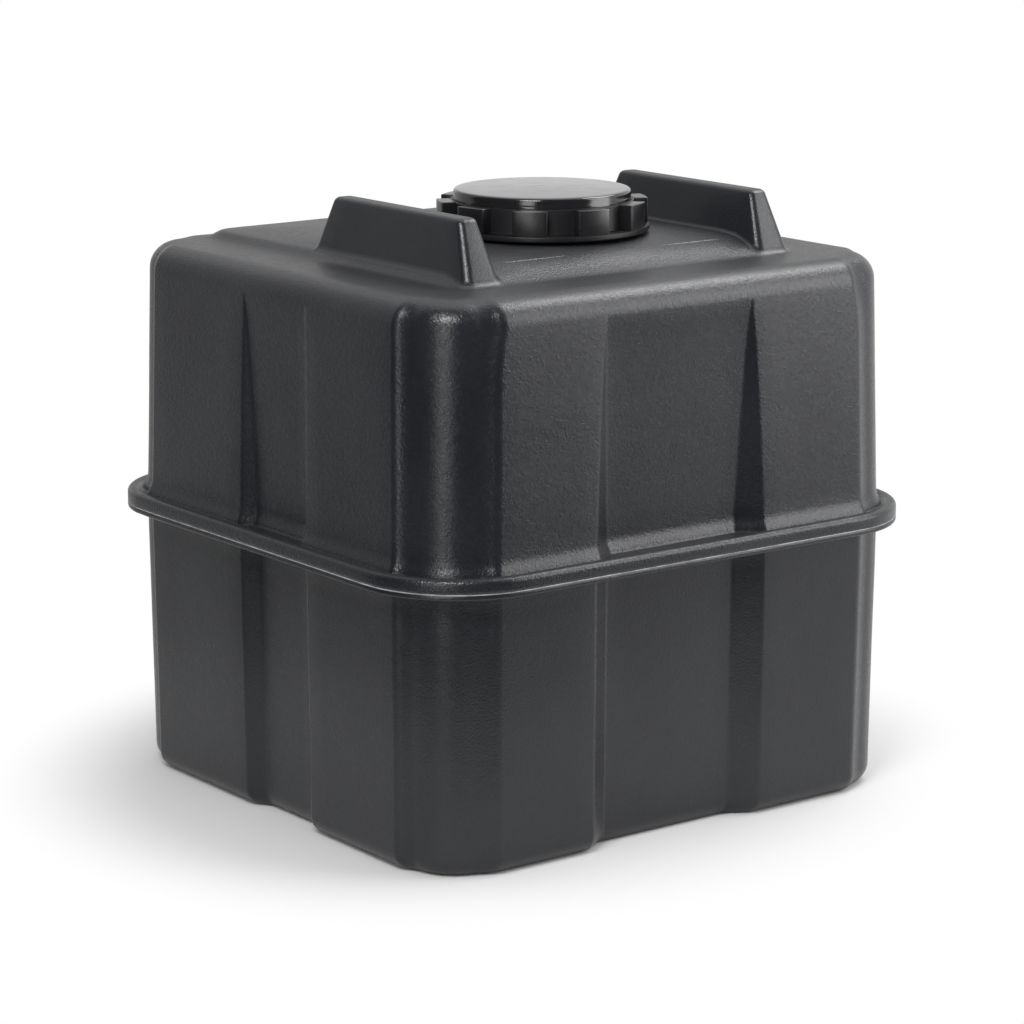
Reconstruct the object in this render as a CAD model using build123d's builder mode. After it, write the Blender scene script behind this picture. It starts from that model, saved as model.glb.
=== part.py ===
"""A moulded septic tank: two half shells joined at a flange, two lifting fins and a screw cover.

Millimetres, +Z up. The origin is the middle of the base. X runs along the front face, which is at -Y.
"""
from build123d import *
from math import radians, tan
import os

os.makedirs("parts", exist_ok=True)

# Heights, each from the one below it
seam_height = 534.0
upper_height = 507.0
ledge_rise = 15.0
crown_rise = 23.0
fin_rise = 79.0

# Half shells
wall = 8.0
lower_draft = 0.5
upper_draft = 1.3
floor_roll = 37.0
shoulder_roll = 51.0
overrun = 40.0
trim = 1.0

# Flange
flange_length = 1200.0
flange_width = 1168.0
flange_corner = 206.0
flange_overhang = 39.0
upper_lip = 27.0
lower_lip = 11.0
upper_lip_round = 10.0
lower_lip_round = 4.0
weld_width = 3.0
weld_height = 3.0

# Pads that stand proud of the four corner columns
column_width_front = 131.0
column_width_side = 128.0
pad_rise = 18.0
pad_end_round = 16.0
column_corner = 101.0
column_joint = 6.0

# Recessed panels in the middle of each face
front_recess_width = 300.0
front_recess_top_width = 336.0
front_recess_depth = 33.0
front_recess_slope = 48.0
front_recess_shift = -12.0
side_recess_width = 157.0
side_recess_top_width = 198.0
side_recess_depth = 24.0
side_recess_slope = 30.0
side_recess_shift = -22.0

# Plateau on the deck: a low riser with a ramp at the front, and a crowned top
plateau_margin_side = 177.0
plateau_margin_front = 180.0
plateau_margin_back = 90.0
plateau_slope = 18.0
ramp_length = 22.0
crown_side = 94.0
crown_front = 30.0
crown_back = 325.0
plateau_corner = 45.0

# Lifting fins, set out from the cover
fin_gap = 137.0
fin_thickness = 40.0
fin_reach_front = 229.0
fin_reach_back = 171.0
fin_side_slope = 20.0
fin_end_slope = 50.0
fin_corner = 12.0
fin_edge_round = 5.0

# Neck, gasket and screw cover
cover_setback = 258.0
neck_bore = 300.0
neck_wall = 10.0
neck_length = 57.0
gasket_thickness = 4.0
gasket_inset = 2.0
thread_clearance = 5.0
skirt_wall = 9.0
skirt_lift = 8.0
cover_plate = 5.0
base_flange_width = 29.0
base_flange_height = 11.0
lug_length = 26.0
lug_count = 10
lug_width_share = 0.52
lug_turn = 10.0
disc_setback = 5.0
disc_height = 23.0
disc_wall = 6.0
disc_round = 6.0
disc_dome = 3.0

# Places worked out from the sizes
half_length = flange_length / 2 - flange_overhang
half_width = flange_width / 2 - flange_overhang
deck_height = seam_height + upper_height
ledge_height = deck_height + ledge_rise
plateau_height = ledge_height + crown_rise
fin_height = plateau_height + fin_rise
pad_length_front = 2 * (half_length - column_width_front)
pad_length_side = 2 * (half_width - column_width_side)
plateau_length = 2 * (half_length - plateau_margin_side)
plateau_front = plateau_margin_front - half_width
plateau_back = half_width - plateau_margin_back
cover_y = plateau_front + cover_setback
floor_joint = floor_roll + wall
lower_joint = seam_height - lower_lip
upper_joint = seam_height + upper_lip
shoulder_height = deck_height - shoulder_roll
column_x = pad_length_front / 2 + column_joint
column_y = pad_length_side / 2 + column_joint
neck_top = plateau_height + neck_length
skirt_bottom = plateau_height + skirt_lift
plate_bottom = neck_top + gasket_thickness
plate_top = plate_bottom + cover_plate
skirt_bore = neck_bore / 2 + neck_wall + thread_clearance
skirt_radius = skirt_bore + skirt_wall
fin_spacing = 2 * (skirt_radius + base_flange_width + fin_gap)
fin_front = cover_y - fin_reach_front
fin_back = cover_y + fin_reach_back
cover_axis = Axis((0, cover_y, 0), (0, 0, 1))
cover_section = Plane((0, cover_y, 0), x_dir=(1, 0, 0), z_dir=(0, -1, 0))


def save(piece, name):
    """Names a finished piece and writes its file."""
    piece.part.label = name
    export_step(piece.part, f"parts/{name}.step")


def drafted(length, width, corner, inset, side, height, draft):
    """A rounded block that narrows away from the seam, upwards (side 1) or downwards (side -1)."""
    seam = Plane((0, 0, seam_height), x_dir=(1, 0, 0), z_dir=(0, 0, side))
    with BuildPart() as form:
        with BuildSketch(seam):
            RectangleRounded(length - 2 * inset, width - 2 * inset, corner - inset)
        extrude(amount=height - inset, taper=draft)
    return form.part


def envelope(inset, side, height, draft, roll):
    """The block that holds the pads and the rolled edge of the floor or of the shoulder."""
    with BuildPart() as form:
        add(drafted(
            2 * half_length, 2 * half_width, column_corner + pad_rise, inset, side, height, draft,
        ))
        far_face = form.faces().sort_by(Axis.Z)[-1 if side > 0 else 0]
        fillet(far_face.edges(), roll - inset)
    return form.part


def recess(width, far_width, depth, far_depth, slope, shift, reach, draft, far_height, inset):
    """The hollow of one recessed panel of the front face, from the seam to its far height."""
    slope_share = slope / depth
    lean = tan(radians(draft)) * abs(far_height - seam_height)
    levels = [(seam_height, width, depth, reach), (far_height, far_width, far_depth, reach - lean)]
    with BuildPart() as form:
        for level, floor_width, level_depth, level_reach in levels:
            with BuildSketch(Plane.XY.offset(level)):
                with BuildLine():
                    floor_y = level_depth - level_reach
                    mouth_y = -level_reach - overrun
                    mouth_width = floor_width + 2 * slope_share * (floor_y - mouth_y)
                    Polyline(
                        (shift - floor_width / 2, floor_y),
                        (shift + floor_width / 2, floor_y),
                        (shift + mouth_width / 2, mouth_y),
                        (shift - mouth_width / 2, mouth_y),
                        close=True,
                    )
                make_face()
                if inset:
                    offset(amount=inset, kind=Kind.INTERSECTION)
        loft(ruled=True)
    return form.part


def recesses(far_share, side, draft, inset):
    """The four recesses of a half shell. Their depth changes to nothing where far_share is one."""
    far_height = shoulder_height + overrun if side > 0 else -overrun
    past = far_share * (far_height - seam_height) / (shoulder_height - seam_height)
    front = recess(
        front_recess_width,
        front_recess_width + past * (front_recess_top_width - front_recess_width),
        front_recess_depth,
        front_recess_depth * (1 - past),
        front_recess_slope,
        front_recess_shift,
        half_width,
        draft,
        far_height,
        inset,
    )
    flank = recess(
        side_recess_width,
        side_recess_width + past * (side_recess_top_width - side_recess_width),
        side_recess_depth,
        side_recess_depth * (1 - past),
        side_recess_slope,
        side_recess_shift,
        half_length,
        draft,
        far_height,
        inset,
    )
    right = flank.rotate(Axis.Z, 90)
    return [front, front.mirror(Plane.XZ), right, right.mirror(Plane.YZ)]


def half_form(inset, side):
    """The outside of a half shell, or with an inset the hollow inside it."""
    height = seam_height if side < 0 else deck_height - seam_height
    draft = lower_draft if side < 0 else upper_draft
    roll = floor_roll if side < 0 else shoulder_roll
    column_length = 2 * (half_length - pad_rise)
    column_width = 2 * (half_width - pad_rise)
    pad_reach_x = 2 * (half_length + trim)
    pad_reach_y = 2 * (half_width + trim)
    far = height + trim
    with BuildPart() as form:
        add(drafted(column_length, column_width, column_corner, inset, side, far, draft))
        add(drafted(pad_length_front, pad_reach_y, pad_end_round, inset, side, far, draft))
        add(drafted(pad_reach_x, pad_length_side, pad_end_round, inset, side, far, draft))
        for hollow in recesses(0 if side < 0 else 1, side, draft, inset):
            add(hollow, mode=Mode.SUBTRACT)
        add(envelope(inset, side, height, draft, roll), mode=Mode.INTERSECT)
    return form.part


def plateau(inset):
    """The raised middle of the deck, or with an inset the hollow under it."""
    levels = [
        (deck_height, plateau_slope, ramp_length, plateau_slope),
        (ledge_height, 0, 0, 0),
        (plateau_height, -crown_side, -crown_front, -crown_back),
    ]
    with BuildPart() as form:
        for level, side_spread, front_spread, back_spread in levels:
            front = plateau_front - front_spread + inset
            back = plateau_back + back_spread - inset
            with BuildSketch(Plane.XY.offset(level - inset)):
                with Locations((0, (front + back) / 2)):
                    RectangleRounded(
                        plateau_length + 2 * side_spread - 2 * inset, back - front, plateau_corner - inset
                    )
        loft(ruled=True)
    return form.part


def fin(side, inset):
    """One lifting fin standing on the deck, or with an inset the hollow inside it."""
    levels = [(deck_height - inset, fin_side_slope, fin_end_slope), (fin_height - inset, 0, 0)]
    with BuildPart() as form:
        for level, side_spread, end_spread in levels:
            with BuildSketch(Plane.XY.offset(level)):
                with Locations((side * fin_spacing / 2, (fin_front + fin_back) / 2)):
                    RectangleRounded(
                        fin_thickness + 2 * side_spread - 2 * inset,
                        fin_back - fin_front + 2 * end_spread - 2 * inset,
                        fin_corner - inset,
                    )
        loft(ruled=True)
        if not inset:
            fillet(form.faces().sort_by(Axis.Z)[-1].edges(), fin_edge_round)
    return form.part


def zone(low_x, high_x, low_y, high_y, low_z, high_z):
    """A box between two corners, which one piece of a shell is taken from."""
    with BuildPart() as form:
        with Locations(((low_x + high_x) / 2, (low_y + high_y) / 2, (low_z + high_z) / 2)):
            Box(high_x - low_x, high_y - low_y, high_z - low_z)
    return form.part


def side_zones(low_z, high_z):
    """The four face walls and the four corner columns of a half shell, between two heights."""
    far_x, far_y = flange_length / 2, flange_width / 2
    zones = {
        "front_wall": zone(-column_x, column_x, -far_y, -column_y, low_z, high_z),
        "back_wall": zone(-column_x, column_x, column_y, far_y, low_z, high_z),
        "left_wall": zone(-far_x, -column_x, -column_y, column_y, low_z, high_z),
        "right_wall": zone(column_x, far_x, -column_y, column_y, low_z, high_z),
        "front_left_corner": zone(-far_x, -column_x, -far_y, -column_y, low_z, high_z),
        "front_right_corner": zone(column_x, far_x, -far_y, -column_y, low_z, high_z),
        "back_left_corner": zone(-far_x, -column_x, column_y, far_y, low_z, high_z),
        "back_right_corner": zone(column_x, far_x, column_y, far_y, low_z, high_z),
    }
    return zones


# Lower half shell
lower_outside = half_form(0, -1)
lower_hollow = half_form(wall, -1)
with BuildPart() as lower_shell:
    add(lower_outside)
    add(lower_hollow, mode=Mode.SUBTRACT)

for name, region in side_zones(floor_joint, lower_joint).items():
    with BuildPart() as lower_piece:
        add(lower_shell.part)
        add(region, mode=Mode.INTERSECT)
    save(lower_piece, "lower_" + name)

with BuildPart() as tank_floor:
    add(lower_shell.part)
    add(
        zone(-half_length, half_length, -half_width, half_width, 0, floor_joint),
        mode=Mode.INTERSECT,
    )
save(tank_floor, "tank_floor")

# Upper half shell, with the plateau and the fins moulded on
upper_outside = half_form(0, 1)
upper_hollow = half_form(wall, 1)
with BuildPart() as upper_shell:
    add(upper_outside)
    add(plateau(0))
    for side in (-1, 1):
        add(fin(side, 0))
    add(upper_hollow, mode=Mode.SUBTRACT)
    add(plateau(wall), mode=Mode.SUBTRACT)
    for side in (-1, 1):
        add(fin(side, wall), mode=Mode.SUBTRACT)
    with Locations((0, cover_y, plateau_height)):
        Cylinder(neck_bore / 2, 2 * overrun, mode=Mode.SUBTRACT)

for name, region in side_zones(upper_joint, shoulder_height).items():
    with BuildPart() as upper_piece:
        add(upper_shell.part)
        add(region, mode=Mode.INTERSECT)
    save(upper_piece, "upper_" + name)

plateau_zone = zone(
    -plateau_length / 2 - plateau_slope,
    plateau_length / 2 + plateau_slope,
    min(plateau_front - ramp_length, fin_front - fin_end_slope),
    plateau_back + plateau_slope,
    deck_height - wall,
    plateau_height,
)
with BuildPart() as deck:
    add(upper_shell.part)
    add(
        zone(-half_length, half_length, -half_width, half_width, shoulder_height, plateau_height),
        mode=Mode.INTERSECT,
    )
    add(plateau_zone, mode=Mode.SUBTRACT)
save(deck, "deck")

with BuildPart() as plateau_piece:
    add(upper_shell.part)
    add(plateau_zone, mode=Mode.INTERSECT)
save(plateau_piece, "plateau")

for side, name in ((-1, "left_fin"), (1, "right_fin")):
    fin_edge = side * fin_spacing / 2
    with BuildPart() as fin_piece:
        add(upper_shell.part)
        add(
            zone(
                fin_edge - fin_thickness / 2 - fin_side_slope,
                fin_edge + fin_thickness / 2 + fin_side_slope,
                fin_front - fin_end_slope,
                fin_back + fin_end_slope,
                plateau_height,
                fin_height,
            ),
            mode=Mode.INTERSECT,
        )
    save(fin_piece, name)

# The two lips of the flange, with a rebate at the seam for the weld
with BuildPart() as weld:
    with BuildSketch(Plane.XY.offset(seam_height - weld_height / 2)):
        RectangleRounded(flange_length, flange_width, flange_corner)
        offset(amount=-weld_width, mode=Mode.SUBTRACT)
    extrude(amount=weld_height)
save(weld, "weld_bead")

with BuildPart() as upper_flange:
    with BuildSketch(Plane.XY.offset(seam_height)):
        RectangleRounded(flange_length, flange_width, flange_corner)
    extrude(amount=upper_lip)
    fillet(upper_flange.faces().sort_by(Axis.Z)[-1].edges(), upper_lip_round)
    add(upper_hollow, mode=Mode.SUBTRACT)
    add(weld.part, mode=Mode.SUBTRACT)
save(upper_flange, "upper_flange")

with BuildPart() as lower_flange:
    with BuildSketch(Plane.XY.offset(lower_joint)):
        RectangleRounded(flange_length, flange_width, flange_corner)
    extrude(amount=lower_lip)
    fillet(lower_flange.faces().sort_by(Axis.Z)[0].edges(), lower_lip_round)
    add(lower_hollow, mode=Mode.SUBTRACT)
    add(weld.part, mode=Mode.SUBTRACT)
save(lower_flange, "lower_flange")

# Neck and gasket
with BuildPart() as neck:
    with BuildSketch(Plane.XY.offset(plateau_height)):
        with Locations((0, cover_y)):
            Circle(neck_bore / 2 + neck_wall)
            Circle(neck_bore / 2, mode=Mode.SUBTRACT)
    extrude(amount=neck_length)
save(neck, "neck")

with BuildPart() as gasket:
    with BuildSketch(Plane.XY.offset(neck_top)):
        with Locations((0, cover_y)):
            Circle(neck_bore / 2 + neck_wall - gasket_inset)
            Circle(neck_bore / 2 + gasket_inset, mode=Mode.SUBTRACT)
    extrude(amount=gasket_thickness)
save(gasket, "cover_gasket")

# Screw cover: a skirt around a closed plate, grip lugs around the skirt, and a raised disc on top
lug_angle = 360 / lug_count * lug_width_share
lug_radius = skirt_radius + lug_length
with BuildSketch() as lug:
    with BuildLine():
        outside = CenterArc((0, 0), lug_radius, -lug_angle / 2, lug_angle)
        inside = CenterArc((0, 0), skirt_radius, -lug_angle / 2, lug_angle)
        Line(inside @ 0, outside @ 0)
        Line(inside @ 1, outside @ 1)
    make_face()

with BuildPart() as skirt:
    with BuildSketch(cover_section):
        with BuildLine():
            Polyline(
                (0, plate_bottom),
                (skirt_bore, plate_bottom),
                (skirt_bore, skirt_bottom),
                (skirt_radius + base_flange_width, skirt_bottom),
                (skirt_radius + base_flange_width, skirt_bottom + base_flange_height),
                (skirt_radius, skirt_bottom + base_flange_height),
                (skirt_radius, plate_top),
                (0, plate_top),
                close=True,
            )
        make_face()
    revolve(axis=cover_axis)
save(skirt, "cover_ring")

with BuildPart() as lugs:
    with BuildSketch(Plane.XY.offset(skirt_bottom + base_flange_height)):
        with Locations((0, cover_y)):
            with PolarLocations(0, lug_count, start_angle=lug_turn):
                add(lug.sketch)
    extrude(amount=plate_top - skirt_bottom - base_flange_height)
save(lugs, "cover_lugs")

with BuildPart() as disc:
    disc_radius = skirt_radius - disc_setback
    disc_top = plate_top + disc_height
    with BuildSketch(cover_section):
        with BuildLine():
            rim = disc_top - disc_dome
            middle = (disc_radius / 2, disc_top - disc_dome / 4)
            ThreePointArc((0, disc_top), middle, (disc_radius, rim))
            Line((disc_radius, rim), (disc_radius, plate_top))
            Line((disc_radius, plate_top), (disc_radius - disc_wall, plate_top))
            Line((disc_radius - disc_wall, plate_top), (disc_radius - disc_wall, rim - disc_wall))
            Line((disc_radius - disc_wall, rim - disc_wall), (0, rim - disc_wall))
            Line((0, rim - disc_wall), (0, disc_top))
        make_face()
    revolve(axis=cover_axis)
    rim_edge = disc.edges().filter_by(lambda edge: edge.is_closed).sort_by(Axis.Z)[-1]
    fillet(rim_edge, disc_round)
save(disc, "cover_disc")
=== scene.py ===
# %% [markdown]
# # A moulded septic tank, piece by piece
# The tank is two plastic half shells, pressed together at a wide flange and welded there. The upper one
# carries a raised deck, two lifting fins and a screw cover. In Blender the shells are made by drawing
# one outline and extruding it from height to height, which is close to how a mould is drawn: a plan
# that changes with height.

# %% The frame and its sizes
import bpy
import bmesh
from math import atan2, cos, hypot, pi, radians, sin, sqrt, tan
from mathutils import Matrix, Vector, noise


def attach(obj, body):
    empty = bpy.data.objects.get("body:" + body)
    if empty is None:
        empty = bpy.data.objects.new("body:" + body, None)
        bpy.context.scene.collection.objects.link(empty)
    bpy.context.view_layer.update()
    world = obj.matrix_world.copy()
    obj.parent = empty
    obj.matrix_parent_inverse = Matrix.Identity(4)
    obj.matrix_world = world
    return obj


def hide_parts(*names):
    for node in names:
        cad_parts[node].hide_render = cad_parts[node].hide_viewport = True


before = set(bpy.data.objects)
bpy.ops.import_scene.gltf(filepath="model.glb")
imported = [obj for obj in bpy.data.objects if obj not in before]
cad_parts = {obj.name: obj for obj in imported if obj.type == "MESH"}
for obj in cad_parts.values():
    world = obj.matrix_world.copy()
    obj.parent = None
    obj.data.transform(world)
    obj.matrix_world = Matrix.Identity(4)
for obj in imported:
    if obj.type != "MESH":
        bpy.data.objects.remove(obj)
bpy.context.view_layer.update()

# %% [markdown]
# The camera comes first, because the likeness is judged through it. Its place was worked out from the
# straight edges of the tank, which meet at two vanishing points. It looks down by about twelve degrees,
# at the corner.

# %% The camera
scene = bpy.context.scene
scene.view_settings.view_transform = "Standard"
lens = bpy.data.cameras.new("studio_camera")
lens.lens = 122.0
camera = bpy.data.objects.new("studio_camera", lens)
camera.location = (-3.965, -5.293, 1.989)
looking = Vector((0.5861, 0.7806, -0.2171))
camera.rotation_euler = looking.to_track_quat("-Z", "Y").to_euler()
scene.collection.objects.link(camera)
scene.camera = camera
print("camera is", round(camera.location.length, 2), "m from the middle of the base")

# %% [markdown]
# A material is a small graph of nodes. These helpers shorten the two things that every graph here does:
# add a node with its settings, and join two sockets. Constants stay on the shader's own sockets.

# %% Helpers for materials


def graph(name):
    """A new material with its nodes, its links and its main shader."""
    material = bpy.data.materials.new(name)
    material.use_nodes = True
    tree = material.node_tree
    return material, tree.nodes, tree.links, tree.nodes["Principled BSDF"]


def node(nodes, kind, **settings):
    """Adds a node and gives it its settings."""
    made = nodes.new("ShaderNode" + kind)
    for key, value in settings.items():
        setattr(made, key, value)
    return made


def place(nodes, links, shift=(0, 0, 0), stretch=(1, 1, 1)):
    """The piece's own coordinates, in metres, moved and stretched."""
    where = node(nodes, "TexCoord")
    mapping = node(nodes, "Mapping")
    mapping.inputs["Location"].default_value = shift
    mapping.inputs["Scale"].default_value = stretch
    links.new(where.outputs["Object"], mapping.inputs["Vector"])
    return mapping.outputs["Vector"]


def speckle(nodes, links, where, scale, detail=4.0, rough=0.55):
    """A noise of a given scale, as a grey value."""
    made = node(nodes, "TexNoise")
    made.inputs["Scale"].default_value = scale
    made.inputs["Detail"].default_value = detail
    made.inputs["Roughness"].default_value = rough
    links.new(where, made.inputs["Vector"])
    return made.outputs["Fac"]


def steps(nodes, links, value, low, high, to_low, to_high):
    """Maps a value from one range to another, and holds it there."""
    made = node(nodes, "MapRange", interpolation_type="SMOOTHSTEP")
    made.inputs["From Min"].default_value = low
    made.inputs["From Max"].default_value = high
    made.inputs["To Min"].default_value = to_low
    made.inputs["To Max"].default_value = to_high
    links.new(value, made.inputs["Value"])
    return made.outputs["Result"]


def blend(nodes, links, value, dark, light):
    """A colour between two colours."""
    made = node(nodes, "Mix", data_type="RGBA")
    made.inputs["A"].default_value = (*dark, 1)
    made.inputs["B"].default_value = (*light, 1)
    links.new(value, made.inputs["Factor"])
    return made.outputs["Result"]


def bump(nodes, links, height, strength, distance, under=None):
    """Turns a height into a change of the surface's normal."""
    made = node(nodes, "Bump")
    made.inputs["Strength"].default_value = strength
    made.inputs["Distance"].default_value = distance
    links.new(height, made.inputs["Height"])
    if under:
        links.new(under, made.inputs["Normal"])
    return made.outputs["Normal"]


# %% [markdown]
# The upper shell has the leather grain of its mould: shallow cells two or three millimetres wide, that
# catch the light where the surface turns. Voronoi cells broken up by noise give that. The colour is a
# slightly bluish black that varies a little over the wide faces, as pigment in a rotated mould does.
# Where the surface faces up its colour is painted paler, a painted light from above, and it is a little
# duller. The lower shell and the fins come from smoother parts of the mould, so their grain is shallower.

# %% Moulded polyethylene, grained and smooth
charcoal = ((0.0085, 0.0092, 0.0120), (0.0110, 0.0120, 0.0150))
smooth_charcoal = ((0.0085, 0.0092, 0.0115), (0.0110, 0.0120, 0.0145))
# Painted top light: the paler colour that up-facing surfaces are blended to, in place of light falling from
# above.
painted_top_light = (0.022, 0.023, 0.025)
level_from = 0.75


def moulded(name, colours, grain, grain_width, roughness):
    """Charcoal plastic, duller on top, with a paler colour painted on top for light from above. Grain is the
    depth of its leather pattern in metres.
    """
    material, nodes, links, shader = graph(name)
    where = place(nodes, links)
    wide = speckle(nodes, links, where, 5.0, 3.0)
    fine = speckle(nodes, links, where, 90.0, 4.0)
    cells = node(nodes, "TexVoronoi", feature="SMOOTH_F1")
    cells.inputs["Scale"].default_value = 1 / grain_width
    cells.inputs["Smoothness"].default_value = 0.6
    warped = node(nodes, "VectorMath", operation="MULTIPLY_ADD")
    drift = node(nodes, "TexNoise")
    drift.inputs["Scale"].default_value = 0.5 / grain_width
    links.new(where, drift.inputs["Vector"])
    links.new(drift.outputs["Color"], warped.inputs[0])
    warped.inputs[1].default_value = (grain_width, grain_width, grain_width)
    links.new(where, warped.inputs[2])
    links.new(warped.outputs["Vector"], cells.inputs["Vector"])
    skin = bump(nodes, links, cells.outputs["Distance"], 1.0, grain)
    skin = bump(nodes, links, fine, 0.6, grain, skin)
    skin = bump(nodes, links, wide, 0.5, 0.0015, skin)
    links.new(skin, shader.inputs["Normal"])
    facing_way = node(nodes, "TexCoord")
    upward = node(nodes, "SeparateXYZ")
    links.new(facing_way.outputs["Normal"], upward.inputs["Vector"])
    top = steps(nodes, links, upward.outputs["Z"], level_from, 1.0, 0, 1)
    shade = blend(nodes, links, steps(nodes, links, wide, 0.35, 0.65, 0, 1), *colours)
    # Painted top light: where the surface faces up, the charcoal is mixed towards a paler colour that stands
    # in for light from above.
    painted_top_mix = node(nodes, "Mix", data_type="RGBA")
    painted_top_mix.inputs["B"].default_value = (*painted_top_light, 1)
    links.new(shade, painted_top_mix.inputs["A"])
    links.new(top, painted_top_mix.inputs["Factor"])
    links.new(painted_top_mix.outputs["Result"], shader.inputs["Base Color"])
    polish = steps(nodes, links, fine, 0.3, 0.7, *roughness)
    duller = node(nodes, "Math", operation="MULTIPLY_ADD")
    duller.inputs[1].default_value = 0.16
    links.new(top, duller.inputs[0])
    links.new(polish, duller.inputs[2])
    links.new(duller.outputs["Value"], shader.inputs["Roughness"])
    shine = steps(nodes, links, upward.outputs["Z"], level_from, 1.0, 0.5, 0.32)
    links.new(shine, shader.inputs["Specular IOR Level"])
    return material


grained = moulded("grained_polyethylene", charcoal, 0.0005, 0.0028, (0.24, 0.30))
smooth = moulded("smooth_polyethylene", smooth_charcoal, 0.0003, 0.0032, (0.27, 0.34))
fin_plastic = moulded("fin_polyethylene", charcoal, 0.00022, 0.0022, (0.28, 0.34))
print("materials:", grained.name, smooth.name, fin_plastic.name)

# %% [markdown]
# The plan of the tank is the same on all four faces, so one quarter is drawn and mirrored. A face has
# two pads that stand proud, a recessed panel between them, and a corner column that stands back. Each
# place on a face is a pair: how far along the face, and how deep below the pads. A rounded corner is a
# short conic curve with a fixed number of points, so that every height has the same number of points
# and the heights can be joined.

# %% The plan of one face
half_length, half_width = 0.561, 0.545  # over the pads, at the seam
corner_radius = 0.119
pad_rise = 0.018  # how far the pads stand proud of the columns
end_front, end_side = 0.438, 0.417  # where a pad ends, from the middle of its face
spread_front, spread_side = 0.0085, 0.0065  # how gently it ends
front_recess = (0.150, 0.048, 0.033)  # half of its floor, the run of its slope, its depth
side_recess = (0.0785, 0.030, 0.024)
shift_front, shift_side = -0.012, -0.022  # how far a recess sits off the middle of its face
recess_edge = 0.006


def conic(start, corner, end, count):
    """Points from start to end along a corner that is rounded off."""
    start, corner, end = Vector(start), Vector(corner), Vector(end)
    weight = max(cos((corner - start).angle(end - corner, 0) / 2), 0.1)
    points = []
    for index in range(count + 1):
        u = index / count
        a, b, c = (1 - u) ** 2, 2 * u * (1 - u) * weight, u ** 2
        points.append((start * a + corner * b + end * c) / (a + b + c))
    return points


def half_face(floor, run, depth, shift, end, spread, rise, swell):
    """Places along half a face, from its middle to the corner column: distance along, and depth."""
    floor = floor + shift - swell / 2
    mouth = floor + run
    end = end + swell
    edge = min(recess_edge, hypot(run, depth) * 0.4)
    lean = Vector((run, -depth)).normalized() * edge
    places = [Vector((0, depth)), Vector((floor * 0.35, depth)), Vector((floor * 0.7, depth))]
    places += conic((floor - edge, depth), (floor, depth), (floor + lean.x, depth + lean.y), 4)
    places += conic((mouth - lean.x, -lean.y), (mouth, 0), (mouth + edge, 0), 4)
    start, finish = end - spread * 2.1, end + spread * 4.6
    flat = start - mouth - edge
    places += [Vector((mouth + edge + flat * share / 6, 0)) for share in range(1, 6)]
    places += conic((start, 0), (end - spread, 0), (end, rise / 3), 8)
    places += conic((end, rise / 3), (end + spread * 2, rise), (finish, rise), 9)[1:]
    return places


# %% [markdown]
# Now the two half faces and the arc between them make a quarter. The recesses sit a little off the
# middle of their faces, so the four quarters differ by that shift. The pads, the recess and the columns
# are all depths below one rounded rectangle, and letting the depth of a recess go to nothing melts it
# into the smooth edge of the deck.

# %% The outline at one height
column_steps = 14
shoulder_draw = 0.012  # how much nearer the middle the front pads end at the shoulder


def quarter_plan(lean, sink, front, side, rise, swell, tight, way_x, way_y):
    """A quarter of the outline, from the x axis to the y axis, on the side that way_x and way_y give."""
    radius = corner_radius - sink
    middle_x = half_length - lean - corner_radius
    middle_y = half_width - lean - corner_radius
    quarter = []
    drawn = end_front - lean - shoulder_draw * tight
    on_side = half_face(*side, way_y * shift_side, end_side - lean, spread_side, rise, swell)
    on_front = half_face(*front, way_x * shift_front, drawn, spread_front, rise, swell)
    for along, depth in on_side:
        turn = max(along - middle_y, 0) / corner_radius
        reach = radius - depth
        quarter.append((middle_x + reach * cos(turn), min(along, middle_y) + reach * sin(turn)))
    first = (on_side[-1][0] - middle_y) / corner_radius
    last = pi / 2 - (on_front[-1][0] - middle_x) / corner_radius
    reach = radius - rise
    for index in range(1, column_steps):
        turn = first + (last - first) * index / column_steps
        quarter.append((middle_x + reach * cos(turn), middle_y + reach * sin(turn)))
    for along, depth in reversed(on_front):
        turn = max(along - middle_x, 0) / corner_radius
        reach = radius - depth
        quarter.append((min(along, middle_x) + reach * sin(turn), middle_y + reach * cos(turn)))
    return [(way_x * x, way_y * y) for x, y in quarter]


def outline(height, lean, sink, front, side, rise, swell=0.0, tight=0.0):
    """One closed outline. Front and side are the recesses, and sink draws the faces in."""
    shape = (lean, sink, front, side, rise, swell, tight)
    whole = quarter_plan(*shape, 1, 1) + quarter_plan(*shape, -1, 1)[-2::-1]
    whole += quarter_plan(*shape, -1, -1)[1:] + quarter_plan(*shape, 1, -1)[-2:0:-1]
    return [Vector((x, y, height)) for x, y in whole]


def onto(points, length_x, low_y, high_y, radius, height):
    """Moves an outline straight out or in to a rounded rectangle, radially at its corners."""
    middle_x = length_x - radius
    moved = []
    for point in points:
        x, y = point.x, point.y
        centre_y = (high_y + low_y) / 2
        half_y = (high_y - low_y) / 2
        side_x = 1 if x > 0 else -1
        side_y = 1 if y > centre_y else -1
        past_x = abs(x) - middle_x
        past_y = abs(y - centre_y) - (half_y - radius)
        if past_x > 0 and past_y > 0:
            far = hypot(past_x, past_y)
            x = side_x * (middle_x + radius * past_x / far)
            y = centre_y + side_y * (half_y - radius + radius * past_y / far)
        elif past_y > past_x:
            y = centre_y + side_y * half_y
        else:
            x = side_x * length_x
        moved.append(Vector((x, y, height)))
    return moved


print("points in one outline:", len(outline(0, 0, 0, front_recess, side_recess, pad_rise)))

# %% [markdown]
# The loft is the workhorse of this script. It starts from bmesh's circle with one vertex for each point
# of the outline, lays it on the first outline, then extrudes its edges and lays the new ring on the
# next outline, and so on. At the end the last ring is bridged back to the first, or both ends are
# filled.

# %% The loft


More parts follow.
